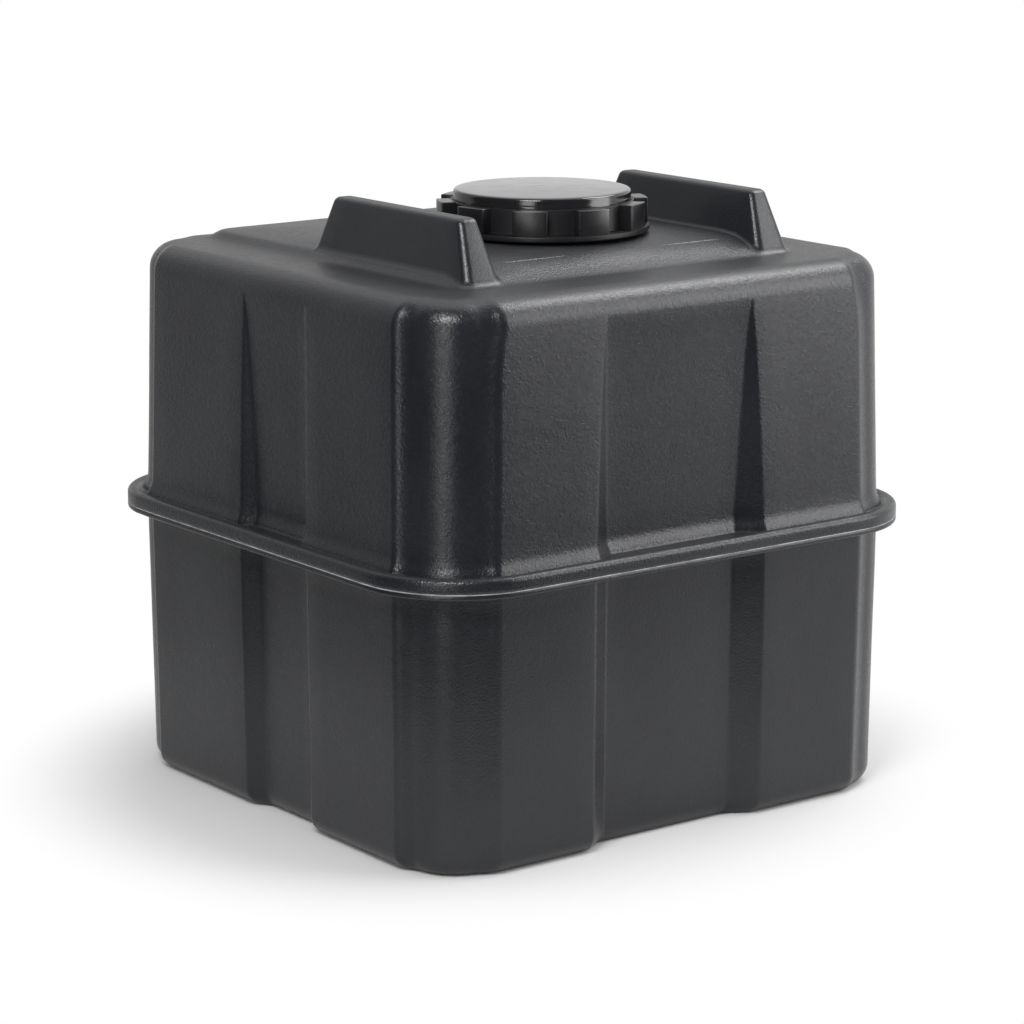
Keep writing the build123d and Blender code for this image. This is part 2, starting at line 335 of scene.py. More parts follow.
def as_object(shape, name, material, sharp=32):
    """Finishes a mesh: doubles merged, normals outward, smooth but for sharp edges, and one material."""
    bmesh.ops.remove_doubles(shape, verts=shape.verts, dist=0.00002)
    bmesh.ops.dissolve_degenerate(shape, edges=shape.edges, dist=0.00002)
    bmesh.ops.recalc_face_normals(shape, faces=shape.faces)
    mesh = bpy.data.meshes.new(name)
    shape.to_mesh(mesh)
    shape.free()
    mesh.shade_smooth()
    mesh.set_sharp_from_angle(angle=radians(sharp))
    mesh.materials.append(material)
    made = bpy.data.objects.new(name, mesh)
    scene.collection.objects.link(made)
    print(name, "faces", len(mesh.polygons))
    return made


def loft(rings, closed):
    """Extrudes an outline from ring to ring, and joins the last to the first or fills both ends."""
    shape = bmesh.new()
    ring = bmesh.ops.create_circle(shape, radius=1, segments=len(rings[0]))["verts"]
    edges = list(shape.edges)
    first = list(edges)
    for vertex, point in zip(ring, rings[0]):
        vertex.co = point
    for points in rings[1:]:
        grown = bmesh.ops.extrude_edge_only(shape, edges=edges)["geom"]
        fresh = {item for item in grown if isinstance(item, bmesh.types.BMVert)}
        edges = [item for item in grown
                 if isinstance(item, bmesh.types.BMEdge) and set(item.verts) <= fresh]
        ring = [next(e.other_vert(v) for e in v.link_edges if e.other_vert(v) in fresh) for v in ring]
        for vertex, point in zip(ring, points):
            vertex.co = point
    if closed:
        bmesh.ops.bridge_loops(shape, edges=first + edges)
    else:
        bmesh.ops.contextual_create(shape, geom=first)
        bmesh.ops.contextual_create(shape, geom=edges)
    return shape


# %% [markdown]
# ## The upper shell
# Seen in section it runs from the seam up round the thick lip, down into a shallow groove, up the wall,
# over the rolled shoulder to the deck, up the plateau, to the hole under the neck, and back inside at
# wall thickness. The recesses are deepest at the flange and fade to nothing at the shoulder, which
# leaves a dark wedge.

# %% Heights and slopes of the upper shell
seam, shoulder, deck, ledge, plateau = 0.534, 0.990, 1.041, 1.056, 1.079
roll = 0.051  # radius of the rolled shoulder
wall = 0.008
upper_lean = tan(radians(1.3))
flange = (0.600, 0.584, 0.206)  # half its length, half its width, its corner radius
recess_widens = (0.018, 0.0205)  # front and side, from the seam to the shoulder
least_run = 0.006
pads_drawn_from = 0.90


def on_flange(points, inset, height):
    """The outline of the flange, drawn in by an inset."""
    length_x, length_y, radius = flange
    return onto(points, length_x - inset, inset - length_y, length_y - inset, radius - inset, height)


def upper_wall(height, sink=0.0, swell=0.0, rise=pad_rise):
    """The outline of the upper wall at a height."""
    share = min(max((height - seam) / (shoulder - seam), 0), 1)
    fade = (1 - share) ** 0.75
    faded = []
    for (floor, run, depth), widens in zip((front_recess, side_recess), recess_widens):
        faded.append((floor + widens * share, max(run * fade, least_run), depth * fade))
    lean = upper_lean * (min(height, shoulder) - seam)
    tight = min(max((height - pads_drawn_from) / (shoulder - pads_drawn_from), 0), 1)
    return outline(height, lean, sink, *faded, rise, swell, tight * tight)


# %% [markdown]
# The lip is drawn first. Its rings are the wall's own points, moved out to the flange's rounded
# rectangle, so the quads run straight across it. A dark groove lies behind its rounded edge, and from
# there the foot of the wall sweeps up in a wide curve, which is the pale band that runs all round the
# tank above the flange.

# %% The lip and the wall
foot = upper_wall(0.562)
lip_round, lip_middle, foot_top = 0.010, 0.551, 0.585
lip_curve = [(0.0022, seam), (0.0012, 0.5347), (0.0002, 0.5362), (0, 0.541), (0, 0.547)]
for turn in (0, 15, 30, 45, 60, 75, 90):
    angle = radians(turn)
    lip_curve.append((lip_round * (1 - cos(angle)), lip_middle + lip_round * sin(angle)))
lip_curve += [(0.0145, 0.5611), (0.017, 0.5608), (0.0195, 0.5598),
              (0.0222, 0.5574), (0.0245, 0.5553), (0.0265, 0.5543)]
foot_curve = ((0.0100, 0.5541), (0.0088, 0.5552), (0.0080, 0.5575), (0.0072, 0.5605), (0.0060, 0.5640),
              (0.0045, 0.5675), (0.0030, 0.5710), (0.0016, 0.5750), (0.0006, 0.5795), (0.0, foot_top))
upper_rings = [on_flange(foot, inset, height) for inset, height in lip_curve]
for bulge, height in foot_curve:
    upper_rings.append(upper_wall(height, -bulge, bulge / 2))
for step in range(1, 16):
    upper_rings.append(upper_wall(foot_top + (shoulder - foot_top) * step / 15))
for step in range(1, 13):
    angle = radians(90) * step / 12
    ring = upper_wall(shoulder, roll * (1 - cos(angle)))
    upper_rings.append([Vector((p.x, p.y, shoulder + roll * sin(angle))) for p in ring])
print("rings up to the deck:", len(upper_rings))

# %% [markdown]
# The plateau stands on the deck: a low riser all round, a crown that climbs gently from its edge, and
# one ramp at the front. It could be modelled as three lofted blocks. Here its height is a function of
# the place in plan instead: straight slopes between three rounded rectangles, with each kink rounded by
# a small hyperbola. The rings of the deck take their heights from it, and so do the feet of the fins
# later, which therefore meet the deck exactly. A low round boss lifts the plateau under the cover.

# %% The height of the deck
foot_plan = (0.402, -0.387, 0.473, 0.045)
ledge_plan = (0.384, -0.365, 0.455, 0.045)
crown_plan = (0.290, -0.335, 0.130, 0.045)
foot_soft, ledge_soft, crown_soft = 0.007, 0.005, 0.030
neck_hole = 0.150
cover_y = -0.107
boss_radius, boss_slope, boss_rise = 0.262, 0.060, 0.0045


def outside(x, y, plan):
    """How far a place lies outside a rounded rectangle, negative inside it."""
    half_x, low_y, high_y, radius = plan
    past_x = abs(x) - half_x + radius
    past_y = abs(y - (low_y + high_y) / 2) - (high_y - low_y) / 2 + radius
    return hypot(max(past_x, 0), max(past_y, 0)) + min(max(past_x, past_y), 0) - radius


def kink(away, softness):
    """How much a rounded kink departs from a sharp one, at a distance from it."""
    return (sqrt(away ** 2 + softness ** 2) - abs(away)) / 2


def deck_height(x, y):
    """The height of the deck, the riser or the plateau over a place in plan."""
    from_foot, from_ledge, from_crown = [outside(x, y, plan) for plan in (foot_plan, ledge_plan, crown_plan)]
    low_slope = (ledge - deck) / (from_ledge - from_foot)
    high_slope = (plateau - ledge) / (from_crown - from_ledge)
    height = deck + low_slope * min(max(-from_foot, 0), from_ledge - from_foot)
    height += high_slope * min(max(-from_ledge, 0), from_crown - from_ledge)
    at_ledge = (low_slope - high_slope) * kink(from_ledge, ledge_soft)
    height += low_slope * kink(from_foot, foot_soft) - at_ledge
    height = min(height - high_slope * kink(from_crown, crown_soft), plateau)
    near = min(max((boss_radius - hypot(x, y - cover_y)) / boss_slope, 0), 1)
    return height + boss_rise * near * near * (3 - 2 * near)


print("plateau edge, middle of its side:", round(deck_height(0.384, 0.1), 4))

# %% The deck and the plateau


def between(low, high, share, height):
    """A ring part of the way from one ring to another, at a height."""
    return [Vector((*a.lerp(b, share).xy, height)) for a, b in zip(low, high)]


def on_deck(ring):
    """A ring laid on the deck."""
    return [Vector((p.x, p.y, deck_height(p.x, p.y))) for p in ring]


edge_ring = upper_rings[-1]
foot_ring = onto(edge_ring, *foot_plan, deck)
ledge_ring = onto(foot_ring, *ledge_plan, ledge)
crown_ring = onto(ledge_ring, *crown_plan, plateau)
hole_ring = []
for point in crown_ring:
    angle = atan2(point.y - cover_y, point.x)
    hole_ring.append(Vector((neck_hole * cos(angle), cover_y + neck_hole * sin(angle), plateau)))
stretches = ((edge_ring, foot_ring, (0.25, 0.5, 0.7, 0.84, 0.92, 0.97)),
             (foot_ring, ledge_ring, (0, 0.12, 0.25, 0.4, 0.55, 0.7, 0.8, 0.88, 0.95, 1.0)),
             (ledge_ring, crown_ring, (0.02, 0.045, 0.08, 0.13, 0.2, 0.3, 0.42, 0.55, 0.7, 0.85, 1.0)),
             (crown_ring, hole_ring, (0.06, 0.16, 0.26, 0.36, 0.46, 0.56, 0.66, 0.76, 0.88, 0.97, 1.0)))
for start, finish, shares in stretches:
    upper_rings += [on_deck(between(start, finish, share, deck)) for share in shares]
print("rings up to the hole:", len(upper_rings))

# %% [markdown]
# Then the loft turns back inside, eight millimetres in. The inside is seen only through the neck, so it
# has fewer rings. Joining the last ring to the first closes the shell along the seam.

# %% The inside of the upper shell
upper_rings.append([p - Vector((0, 0, wall)) for p in hole_ring])
for plan, height in ((crown_plan, plateau), (ledge_plan, ledge), (foot_plan, deck)):
    half_x, low_y, high_y, radius = plan
    inner = (half_x - wall, low_y + wall, high_y - wall, radius - wall)
    upper_rings.append(onto(foot_ring, *inner, height - wall))
for step in range(6, -1, -1):
    angle = radians(90) * step / 6
    ring = upper_wall(shoulder, (roll - wall) * (1 - cos(angle)) + wall, -wall)
    upper_rings.append([Vector((p.x, p.y, shoulder + (roll - wall) * sin(angle))) for p in ring])
for height in (0.90, 0.78, 0.66, 0.58, seam):
    upper_rings.append(upper_wall(height, wall, -wall))
upper_shape = loft(upper_rings, closed=True)
print("upper shell rings:", len(upper_rings))

# %% [markdown]
# A shell drawn with ruler and compass looks like sheet metal. Real walls of this size wander by half a
# millimetre where the plastic cooled unevenly, and that is what bends the long highlights. A slow noise
# moves the vertices. Its seed is set, because without one the noise differs each time the script runs.

# %% Moulding wander
wander_amount, wander_width = 0.0006, 0.16
noise.seed_set(5)


def wander(shape):
    """Moves the vertices of a shell by a slow noise, all but those of the lips and the foot."""
    for vertex in shape.verts:
        from_lips = max(abs(vertex.co.z - seam) - 0.03, 0)
        away = min(from_lips / 0.05, 1) * min(vertex.co.z / 0.06, 1)
        vertex.co += noise.noise_vector(vertex.co / wander_width) * wander_amount * away


wander(upper_shape)
upper = as_object(upper_shape, "upper_shell", grained)
upper_walls = [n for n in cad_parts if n.startswith("upper_") and n != "upper_flange"]
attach(upper, "tank")
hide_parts("upper_flange", "deck", "plateau", *upper_walls)

# %% [markdown]
# ## The lower shell
# The same idea upside down: from the middle of the floor out, round the rolled edge, up the walls,
# whose recesses keep their depth, out along the thin lip to the seam, and back down inside.

# %% The lower shell
floor_roll = 0.037  # radius of the rolled edge of the base
lower_lean = tan(radians(0.5))
base_ease = 0.45
lip_foot = 0.518
lip_edge = 0.004


def lower_wall(height, sink=0.0, swell=0.0, ease=0.0):
    """The outline of the lower wall at a height. Ease makes the recesses and columns shallower."""
    front = (*front_recess[:2], front_recess[2] * (1 - ease))
    side = (*side_recess[:2], side_recess[2] * (1 - ease))
    lean = lower_lean * (seam - max(height, floor_roll))
    return outline(height, lean, sink, front, side, pad_rise * (1 - ease), swell)


base = lower_wall(0, floor_roll, 0, base_ease)
middle_plans = ((0.15, -0.15, 0.15, 0.05), (0.35, -0.35, 0.35, 0.06))
lower_rings = [onto(base, *plan, 0) for plan in middle_plans]
for step in range(0, 13):
    angle = radians(90) * step / 12
    drop = floor_roll * (1 - sin(angle))
    ring = lower_wall(floor_roll, drop, 0, base_ease * (drop / floor_roll) ** 2)
    lower_rings.append([Vector((p.x, p.y, floor_roll * (1 - cos(angle)))) for p in ring])
for step in range(1, 13):
    lower_rings.append(lower_wall(floor_roll + (lip_foot - floor_roll) * step / 12))
for turn in (22, 45, 68, 90):
    angle = radians(turn)
    bulge = 0.004 * (1 - cos(angle))
    lower_rings.append(lower_wall(lip_foot + 0.0044 * sin(angle), -bulge, bulge))
top = lower_rings[-1]
lip_curve = [(0.0300, 0.5228), (0.0045, 0.5231)]
for turn in (25, 50, 75, 90):
    angle = radians(turn)
    lip_curve.append((lip_edge * (1 - sin(angle)), 0.527 - lip_edge * cos(angle)))
lip_curve += [(0.0, 0.5312), (0.0012, 0.5332), (0.0022, seam)]
lower_rings += [on_flange(top, inset, height) for inset, height in lip_curve]
lower_rings.append(lower_wall(seam, wall, -wall))
for height in (0.45, 0.30, 0.15, floor_roll):
    lower_rings.append(lower_wall(height, wall, -wall))
for step in range(1, 6):
    angle = radians(90) * step / 5
    drop = (floor_roll - wall) * (1 - cos(angle))
    ring = lower_wall(floor_roll, drop + wall, -wall, base_ease * (drop / (floor_roll - wall)) ** 2)
    height = floor_roll - (floor_roll - wall) * sin(angle)
    lower_rings.append([Vector((p.x, p.y, height)) for p in ring])
lower_rings += [onto(base, *plan, wall) for plan in reversed(middle_plans)]
lower_shape = loft(lower_rings, closed=False)
wander(lower_shape)
lower = as_object(lower_shape, "lower_shell", smooth)
lower_walls = [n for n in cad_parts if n.startswith("lower_")]
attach(lower, "tank")
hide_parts("tank_floor", *lower_walls)

# %% [markdown]
# ## The lifting fins
# A fin is moulded on the deck: a slim block that widens downwards, with softened top edges and a foot
# that flares into the deck. It is lofted from a rounded rectangle that grows with the depth below the
# top. Near the deck every point gets its own height from the deck under it, so the foot runs down the
# ramp and the riser with the deck.

# %% The fins
fin_x, fin_top, fin_drop = 0.340, 1.158, 0.117  # its place, its top, its height over the deck
fin_half, fin_widens = 0.020, 0.020
fin_front, fin_back, fin_lengthens = -0.336, 0.064, 0.050
fin_corner, fin_corner_grows = 0.012, 0.006
fin_edge = 0.008
fin_flare = 0.009
fin_waist = 1.106  # below it the fin follows the deck


def rounded(half_x, low_y, high_y, radius, height, along=10):
    """A rounded rectangle about the line x = 0, with the same number of points at every size."""
    points = []
    centres = ((half_x - radius, high_y - radius, 0), (radius - half_x, high_y - radius, 90),
               (radius - half_x, low_y + radius, 180), (half_x - radius, low_y + radius, 270))
    for x, y, start in centres:
        for index in range(9):
            turn = radians(start + 90 * index / 8)
            points.append(Vector((x + radius * cos(turn), y + radius * sin(turn), height)))
        if start in (90, 270):
            far_y = low_y + radius if start == 90 else high_y - radius
            edge_x = points[-1].x
            for index in range(1, along):
                points.append(Vector((edge_x, y + (far_y - y) * index / along, height)))
    return points


def fin_ring(height, inset=0.0):
    """The plan of a fin at a height, drawn in by an inset, or flared where the inset is negative."""
    share = (fin_top - height) / fin_drop
    half_x = fin_half + fin_widens * share - inset
    low_y = fin_front - fin_lengthens * share + inset
    high_y = fin_back + fin_lengthens * share - inset
    radius = fin_corner + fin_corner_grows * share - inset * 0.7
    return rounded(half_x, low_y, high_y, radius, height)


def fin(name, side):
    """One lifting fin on the left (-1) or the right (1) of the cover."""
    middle = Vector((side * fin_x, 0, 0))
    rings = [fin_ring(fin_top, 0.014)]
    for turn in (90, 72, 54, 36, 18, 0):
        angle = radians(turn)
        rings.append(fin_ring(fin_top - fin_edge * (1 - sin(angle)), fin_edge * (1 - cos(angle))))
    for height in (1.140, 1.128, 1.116, fin_waist):
        rings.append(fin_ring(height))
    rings = [[p + middle for p in ring] for ring in rings]
    upright, low = fin_ring(fin_waist), fin_ring(deck)
    for turn in (0, 12, 25, 38, 51, 64, 77, 90):
        angle = radians(turn)
        lift = fin_flare * (1 - sin(angle))
        flared = fin_ring(deck, -fin_flare * (1 - cos(angle)))
        ring = []
        for point, below, spread in zip(upright, low, flared):
            ground = deck_height(point.x + middle.x, point.y)
            for repeat in range(6):
                share = (fin_waist - ground - lift) / (fin_waist - deck)
                spot = point.lerp(below, share) + (spread - below) + middle
                ground = deck_height(spot.x, spot.y)
            ring.append(Vector((spot.x, spot.y, ground + lift - 0.0008 * (turn == 90))))
        rings.append(ring)
    rings.append([Vector((p.x, p.y, p.z - 0.003)) for p in rings[-1]])
    shape = loft(rings, closed=False)
    piece = as_object(shape, name + "_skin", fin_plastic)
    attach(piece, "tank")
    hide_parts(name)
    return piece


left_fin = fin("left_fin", -1)
right_fin = fin("right_fin", 1)

# %% [markdown]
# ## The weld
# Where the half shells were pressed together hot, a thread of pale plastic shows at the seam. It is a
# thin bead lofted round the flange, thicker in places and thinner in others, as the press left it.

# %% The weld bead


def pale_weld():
    """Chalky pale plastic, darker in some patches than in others."""
    material, nodes, links, shader = graph("pale_weld")
    patches = speckle(nodes, links, place(nodes, links), 30.0, 5.0)
    share = steps(nodes, links, patches, 0.2, 0.8, 0, 1)
    tint = blend(nodes, links, share, (0.12, 0.12, 0.125), (0.34, 0.34, 0.35))
    links.new(tint, shader.inputs["Base Color"])
    shader.inputs["Roughness"].default_value = 0.6
    return material


bead_reach, bead_height, bead_wander = 0.0012, 0.0013, 0.0004
bead_rings = []
for turn in range(0, 360, 45):
    angle = radians(turn)
    ring = []
    for point in on_flange(foot, bead_reach - bead_reach * cos(angle), seam + bead_height * sin(angle)):
        thick = noise.noise(point * 14) * bead_wander
        ring.append(point + Vector((0, 0, thick * sin(angle))))
    bead_rings.append(ring)
bead = as_object(loft(bead_rings, closed=True), "weld_line", pale_weld(), sharp=180)
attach(bead, "tank")
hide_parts("weld_bead")

# %% [markdown]
# ## The screw cover
# Round parts are spun: a half section is drawn in the plane x-z and turned about the axis of the cover.
# The section is a chain of extruded vertices. A few small roundings are drawn in, because edges on a
# glossy black plastic are what the eye reads.

# %% Helper for spun pieces
axis_foot = Vector((0, cover_y, 0))
neck_top, plate_low, plate_high, skirt_low, disc_top = 1.136, 1.140, 1.145, 1.087, 1.168


def spun(section, segments=144, closed=False):
    """Spins a section, a chain of (radius, height) pairs, about the axis of the cover."""
    shape = bmesh.new()
    start = bmesh.ops.create_vert(shape, co=(section[0][0], cover_y, section[0][1]))["vert"][0]
    chain = [start]
    for radius, height in section[1:]:
        grown = bmesh.ops.extrude_vert_indiv(shape, verts=[chain[-1]])["verts"][0]
        grown.co = (radius, cover_y, height)
        chain.append(grown)
    if closed:
        shape.edges.new((chain[-1], chain[0]))
    bmesh.ops.spin(shape, geom=shape.verts[:] + shape.edges[:], cent=axis_foot, axis=(0, 0, 1),
                   angle=2 * pi, steps=segments, use_merge=True, use_duplicate=False)
    return shape


# %% [markdown]
# The cover is a different plastic from the shells: injection moulded, denser and glossier. The disc is
# the glossiest and mirrors the white behind it, the skirt between the lugs is the dullest, so three
# levels are made.

# %% Black cover plastic


def black_cover(name, rough, shine, centre=False):
    """Injection moulded black plastic, half gloss, with faint rings from the tool on the disc."""
    material, nodes, links, shader = graph(name)
    where = place(nodes, links, shift=(0, -cover_y, 0))
    cloud = speckle(nodes, links, where, 24.0, 4.0)
    dust = speckle(nodes, links, where, 420.0, 2.0)
    skin = bump(nodes, links, dust, 0.25, 0.0002)
    if centre:
        rings = node(nodes, "TexWave", wave_type="RINGS", rings_direction="Z")
        rings.inputs["Scale"].default_value = 60.0
        rings.inputs["Distortion"].default_value = 0.6
        links.new(where, rings.inputs["Vector"])
        skin = bump(nodes, links, rings.outputs["Fac"], 0.12, 0.0003, skin)
    links.new(skin, shader.inputs["Normal"])
    tint = blend(nodes, links, cloud, (0.007, 0.007, 0.008), (0.011, 0.011, 0.0125))
    links.new(tint, shader.inputs["Base Color"])
    polish = steps(nodes, links, cloud, 0.3, 0.7, rough - 0.03, rough + 0.03)
    links.new(polish, shader.inputs["Roughness"])
    shader.inputs["Specular IOR Level"].default_value = shine
    return material


cover_black = black_cover("black_cover", 0.30, 0.55)
skirt_black = black_cover("black_skirt", 0.40, 0.22)
disc_black = black_cover("black_disc", 0.14, 0.65, centre=True)

# %% [markdown]
# The neck stands on the plateau under the cover. It carries the thread: a small triangular ridge, spun
# two turns while it climbs. The gasket lies on its rim.

# %% The neck, its thread and the gasket
neck_section = [(0.1504, plateau - 0.0015), (0.1504, neck_top - 0.0015), (0.1515, neck_top),
                (0.1585, neck_top), (0.160, neck_top - 0.0015), (0.160, plateau + 0.008),
                (0.1625, plateau + 0.0035), (0.1665, plateau + 0.001), (0.1680, plateau - 0.0015)]
neck_shape = spun(neck_section, closed=True)
neck = as_object(neck_shape, "neck_skin", smooth)
thread_pitch = 0.014
ridge = bmesh.new()
for radius, height in ((0.1595, 1.0935), (0.1625, 1.0952), (0.1625, 1.0962), (0.1595, 1.0979)):
    bmesh.ops.create_vert(ridge, co=(radius, cover_y, height))
bmesh.ops.contextual_create(ridge, geom=ridge.verts[:])
bmesh.ops.spin(ridge, geom=ridge.faces[:] + ridge.edges[:] + ridge.verts[:], cent=axis_foot,
               axis=(0, 0, 1), dvec=(0, 0, thread_pitch / 72), angle=4 * pi, steps=144,
               use_merge=False, use_duplicate=False)
thread = as_object(ridge, "neck_thread", smooth)
for piece in (neck, thread):
    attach(piece, "tank")
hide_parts("neck")


def black_rubber():
    """Matt black rubber with a fine bloom."""
    material, nodes, links, shader = graph("black_rubber")
    bloom = speckle(nodes, links, place(nodes, links), 300.0, 5.0)
    tint = blend(nodes, links, bloom, (0.012, 0.012, 0.012), (0.026, 0.026, 0.026))
    links.new(tint, shader.inputs["Base Color"])
    links.new(bump(nodes, links, bloom, 0.3, 0.0002), shader.inputs["Normal"])
    shader.inputs["Roughness"].default_value = 0.75
    return material


gasket_section = [(0.152, neck_top + 0.0006), (0.1526, neck_top), (0.1574, neck_top),
                  (0.158, neck_top + 0.0006), (0.158, plate_low - 0.0006), (0.1574, plate_low),
                  (0.1526, plate_low), (0.152, plate_low - 0.0006)]
gasket = as_object(spun(gasket_section, closed=True), "gasket_ring", black_rubber())
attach(gasket, "seal")
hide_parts("cover_gasket")

# %% [markdown]
# The cover itself is one moulding: a skirt with a closed top, a base flange, ten grip lugs and a raised
# disc with a rounded rim. The lugs are cut as blocks: a small rectangle spun through the width of a
# lug, its edges bevelled, then copied round the skirt.

# %% The skirt with its base flange
skirt_section = [(0, plate_low), (0.165, plate_low), (0.165, skirt_low + 0.0015), (0.1665, skirt_low),
                 (0.2005, skirt_low), (0.2030, skirt_low + 0.0025), (0.2030, skirt_low + 0.0085),
                 (0.2022, skirt_low + 0.0104), (0.2000, skirt_low + 0.0110), (0.1775, skirt_low + 0.0110),
                 (0.1750, skirt_low + 0.0118), (0.1740, skirt_low + 0.0140), (0.1740, plate_high - 0.0025),
                 (0.1733, plate_high - 0.0007), (0.1715, plate_high), (0.1705, plate_high - 0.0005),
                 (0.1698, plate_high - 0.0008), (0, plate_high - 0.0008)]
skirt = as_object(spun(skirt_section), "cover_skirt", skirt_black)

# %% The grip lugs
lug_count = 10
lug_step = 360 / lug_count
lug_angle = radians(lug_step * 0.52)
lug_turn = radians(10)
lug_in, lug_out, lug_low, lug_edge = 0.1730, 0.2000, skirt_low + 0.010, 0.0016
lugs_shape = bmesh.new()
for radius, height in ((lug_in, lug_low), (lug_out, lug_low), (lug_out, plate_high), (lug_in, plate_high)):
    bmesh.ops.create_vert(lugs_shape, co=(radius, cover_y, height))
bmesh.ops.contextual_create(lugs_shape, geom=lugs_shape.verts[:])
block = lugs_shape.faces[:] + lugs_shape.edges[:] + lugs_shape.verts[:]
bmesh.ops.spin(lugs_shape, geom=block, cent=axis_foot, axis=(0, 0, 1), angle=lug_angle, steps=8,
               use_merge=False, use_duplicate=False)
bmesh.ops.remove_doubles(lugs_shape, verts=lugs_shape.verts, dist=0.00002)
bmesh.ops.recalc_face_normals(lugs_shape, faces=lugs_shape.faces)
sharp_edges = [e for e in lugs_shape.edges if e.calc_face_angle(0) > radians(40)]
bmesh.ops.bevel(lugs_shape, geom=sharp_edges, affect="EDGES", offset=lug_edge, segments=3, profile=0.5,
                material=-1)
bmesh.ops.rotate(lugs_shape, verts=lugs_shape.verts, cent=axis_foot,
                 matrix=Matrix.Rotation(lug_turn - lug_angle / 2, 3, "Z"))
single = lugs_shape.verts[:] + lugs_shape.edges[:] + lugs_shape.faces[:]
for index in range(1, lug_count):
    copied = bmesh.ops.duplicate(lugs_shape, geom=single)["geom"]
    corners = [item for item in copied if isinstance(item, bmesh.types.BMVert)]
    bmesh.ops.rotate(lugs_shape, verts=corners, cent=axis_foot,
                     matrix=Matrix.Rotation(radians(lug_step) * index, 3, "Z"))
lugs = as_object(lugs_shape, "cover_grips", cover_black)

# %% The disc
rim_round = 0.006
disc_face = ((0, 0.0004), (0.0022, 0.0003), (0.0045, 0.00005), (0.012, 0),
             (0.060, 0.0008), (0.110, 0.0018), (0.150, 0.0027), (0.1610, 0.0031))
rim_section = [(radius, disc_top - drop) for radius, drop in disc_face]
for turn in (15, 30, 45, 60, 75, 90):
    angle = radians(turn)
    rim_section.append((0.1620 + rim_round * sin(angle), disc_top - 0.0092 + rim_round * cos(angle)))
rim_section += [(0.1680, plate_high + 0.007), (0.1686, plate_high + 0.0055), (0.1690, plate_high + 0.003),
                (0.1690, plate_high - 0.0008), (0, plate_high - 0.0008)]
disc = as_object(spun(rim_section), "cover_disc_skin", disc_black)
for piece, solid in ((skirt, "cover_ring"), (lugs, "cover_lugs"), (disc, "cover_disc")):
    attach(piece, "cover")
    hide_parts(solid)

# %% [markdown]
# ## Floor, world and lamps
# The tank stands in a studio with a white sweep behind it and a dark room in front. Black plastic shows
# little of its own colour: its two faces mirror the ends of the sweep, left and right, and its corner
# mirrors the dark room. So the sweep is white for the camera and for mirrored rays, and the rest stays
# dark for mirrored rays. The floor keeps the shadow near the tank and turns into the white of the sweep
# one step further out.

# %% The way to the sweep
sweep = Vector((0.800, 0.600, 0))
right_hand = Vector((0.600, -0.800, 0))
dark_room = 0.05
paper_white = 0.66
world_level = 0.75


def facing(nodes, links, vector, way, low, high, to_low=0, to_high=1):
    """Grows from one level to another with a vector's part along a way."""
    along = node(nodes, "VectorMath", operation="DOT_PRODUCT")
    along.inputs[1].default_value = way
    links.new(vector, along.inputs[0])
    return steps(nodes, links, along.outputs["Value"], low, high, to_low, to_high)


def combined(nodes, links, operation, first, second):
    """Joins two values by an operation; a number goes on the socket itself."""
    made = node(nodes, "Math", operation=operation)
    for socket, value in zip(made.inputs, (first, second)):
        if isinstance(value, (int, float)):
            socket.default_value = value
        else:
            links.new(value, socket)
    return made.outputs["Value"]


# %% [markdown]
# The floor is one large grid of matt paper. It is shaded by the lamps near the tank, so the shadow
# shows. A mask by distance fades it into plain white for the camera, and into the mirrored sweep for
# glossy rays.

# %% The floor
floor_shape = bmesh.new()
bmesh.ops.create_grid(floor_shape, x_segments=4, y_segments=4, size=60)
floor_mesh = bpy.data.meshes.new("studio_floor")
floor_shape.to_mesh(floor_mesh)
floor_shape.free()
floor_object = bpy.data.objects.new("studio_floor", floor_mesh)
scene.collection.objects.link(floor_object)

paper, nodes, links, shader = graph("white_paper")
shader.inputs["Base Color"].default_value = (paper_white, paper_white, paper_white, 1)
shader.inputs["Roughness"].default_value = 1.0
shader.inputs["Specular IOR Level"].default_value = 0.0
glow = node(nodes, "Emission")
seen = node(nodes, "LightPath")
spot = place(nodes, links)
distance = node(nodes, "VectorMath", operation="LENGTH")
links.new(spot, distance.inputs[0])
far_share = steps(nodes, links, distance.outputs["Value"], 0.68, 1.04, 0.0, 1.0)
mirrored = facing(nodes, links, spot, sweep, -0.9, 0.1)
level = facing(nodes, links, spot, right_hand, -0.8, 1.8, 0.50, 0.95)
mirrored = combined(nodes, links, "MULTIPLY", mirrored, level)
mirrored = combined(nodes, links, "ADD", mirrored, dark_room)
lit = combined(nodes, links, "MULTIPLY", mirrored, seen.outputs["Is Glossy Ray"])
lit = combined(nodes, links, "ADD", lit, seen.outputs["Is Camera Ray"])
links.new(lit, glow.inputs["Strength"])
masked = combined(nodes, links, "MULTIPLY", far_share, seen.outputs["Is Camera Ray"])
beyond = steps(nodes, links, distance.outputs["Value"], 1.2, 2.0, 0.0, 1.0)
beyond = combined(nodes, links, "MULTIPLY", beyond, seen.outputs["Is Glossy Ray"])
masked = combined(nodes, links, "MAXIMUM", masked, beyond)
both = node(nodes, "MixShader")
links.new(masked, both.inputs["Fac"])
links.new(shader.outputs["BSDF"], both.inputs[1])
links.new(glow.outputs["Emission"], both.inputs[2])
links.new(both.outputs["Shader"], nodes["Material Output"].inputs["Surface"])
floor_mesh.materials.append(paper)

# %% [markdown]
# The world does the same for all that lies above the floor: white for the camera, a plain grey-white
# light for matt surfaces, and for glossy ones a bright sweep on one side and a dark room on the other.

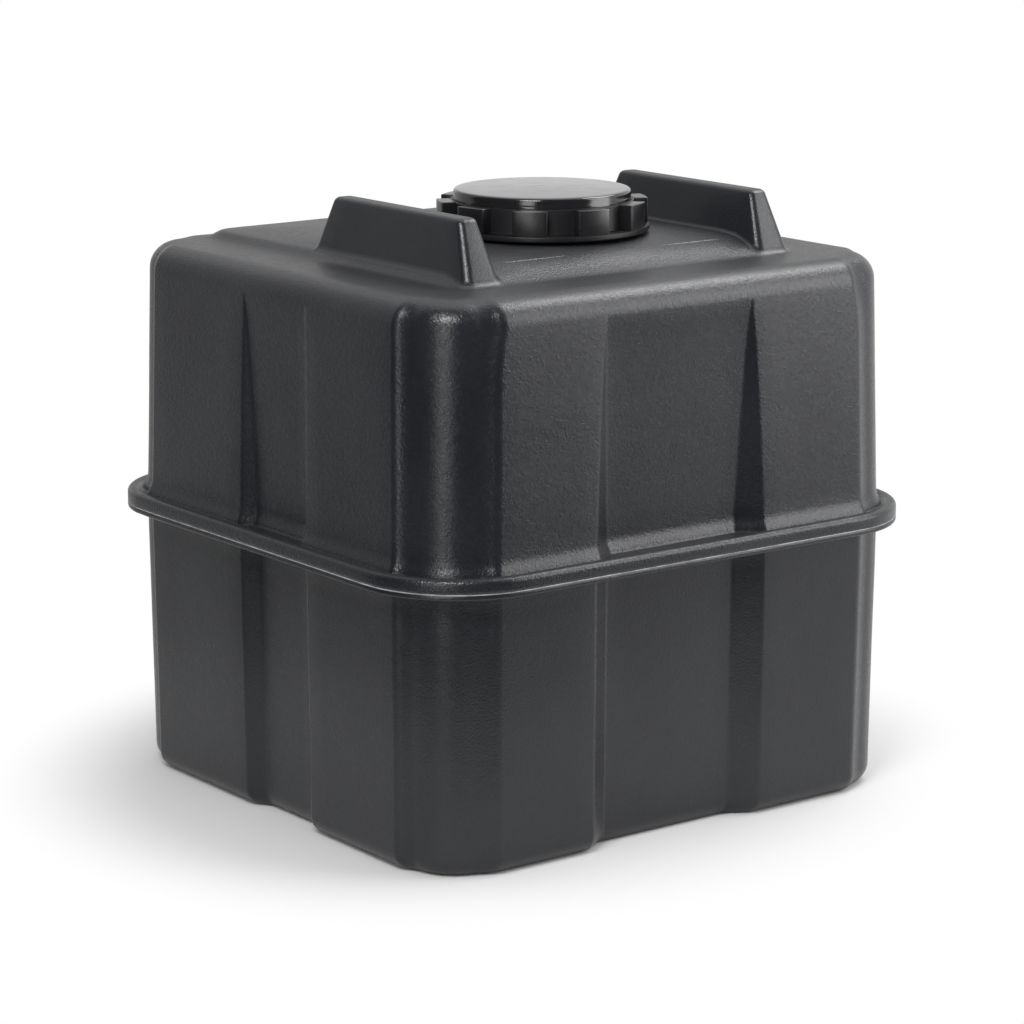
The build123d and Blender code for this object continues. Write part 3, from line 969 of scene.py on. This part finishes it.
# %% The world
world = bpy.data.worlds.new("studio")
scene.world = world
world.use_nodes = True
nodes, links = world.node_tree.nodes, world.node_tree.links
rays = node(nodes, "LightPath")
direction = node(nodes, "TexCoord")
mirrored = facing(nodes, links, direction.outputs["Generated"], sweep, -0.22, 0.0)
level = facing(nodes, links, direction.outputs["Generated"], right_hand, -1.0, -0.3, 0.50, 1.0)
mirrored = combined(nodes, links, "MULTIPLY", mirrored, level)
mirrored = combined(nodes, links, "MAXIMUM", mirrored, dark_room)
camera_ray, glossy_ray, diffuse_ray, through_ray = [
    rays.outputs["Is " + kind + " Ray"] for kind in ("Camera", "Glossy", "Diffuse", "Transmission")]
direct = combined(nodes, links, "MAXIMUM", camera_ray, through_ray)
plain = combined(nodes, links, "MULTIPLY", diffuse_ray, world_level)
strength = combined(nodes, links, "MULTIPLY", mirrored, glossy_ray)
strength = combined(nodes, links, "ADD", strength, plain)
strength = combined(nodes, links, "MAXIMUM", strength, direct)
links.new(strength, nodes["Background"].inputs["Strength"])
nodes["Background"].inputs["Color"].default_value = (1, 1, 1, 1)

# %% [markdown]
# Five soft lamps at a plain level shape the tank: one at the near corner, for the narrow highlight down
# the corner column, a low panel beside it, one for each of the right face and the deck's edge, and a
# weak one overhead. Large lamps are used, because small ones would leave hard spots on black plastic.

# %% The lamps


def softbox(name, azimuth, elevation, far, width, height, watts, target=(0, 0, 0.8)):
    """A rectangular lamp at a bearing and an elevation, in degrees, that looks at a target."""
    lamp = bpy.data.lights.new(name, "AREA")
    lamp.shape = "RECTANGLE"
    lamp.size = width
    lamp.size_y = height
    lamp.energy = watts
    made = bpy.data.objects.new(name, lamp)
    bearing, rise = radians(azimuth), radians(elevation)
    way = Vector((cos(bearing) * cos(rise), sin(bearing) * cos(rise), sin(rise)))
    made.location = Vector(target) + far * way
    made.rotation_euler = (Vector(target) - made.location).to_track_quat("-Z", "Y").to_euler()
    made.visible_camera = False
    scene.collection.objects.link(made)
    print(name, "at", [round(v, 2) for v in made.location])


softbox("key_softbox", 218, 38, 4.2, 1.5, 0.8, 90)
softbox("front_panel", 216, 4, 3.8, 1.0, 2.0, 24)
softbox("right_softbox", 311, 17, 3.6, 1.9, 2.4, 56)
softbox("overhead_softbox", 341, 52, 3.0, 1.7, 1.3, 46)
softbox("top_softbox", 53, 85, 3.4, 2.6, 2.2, 14)
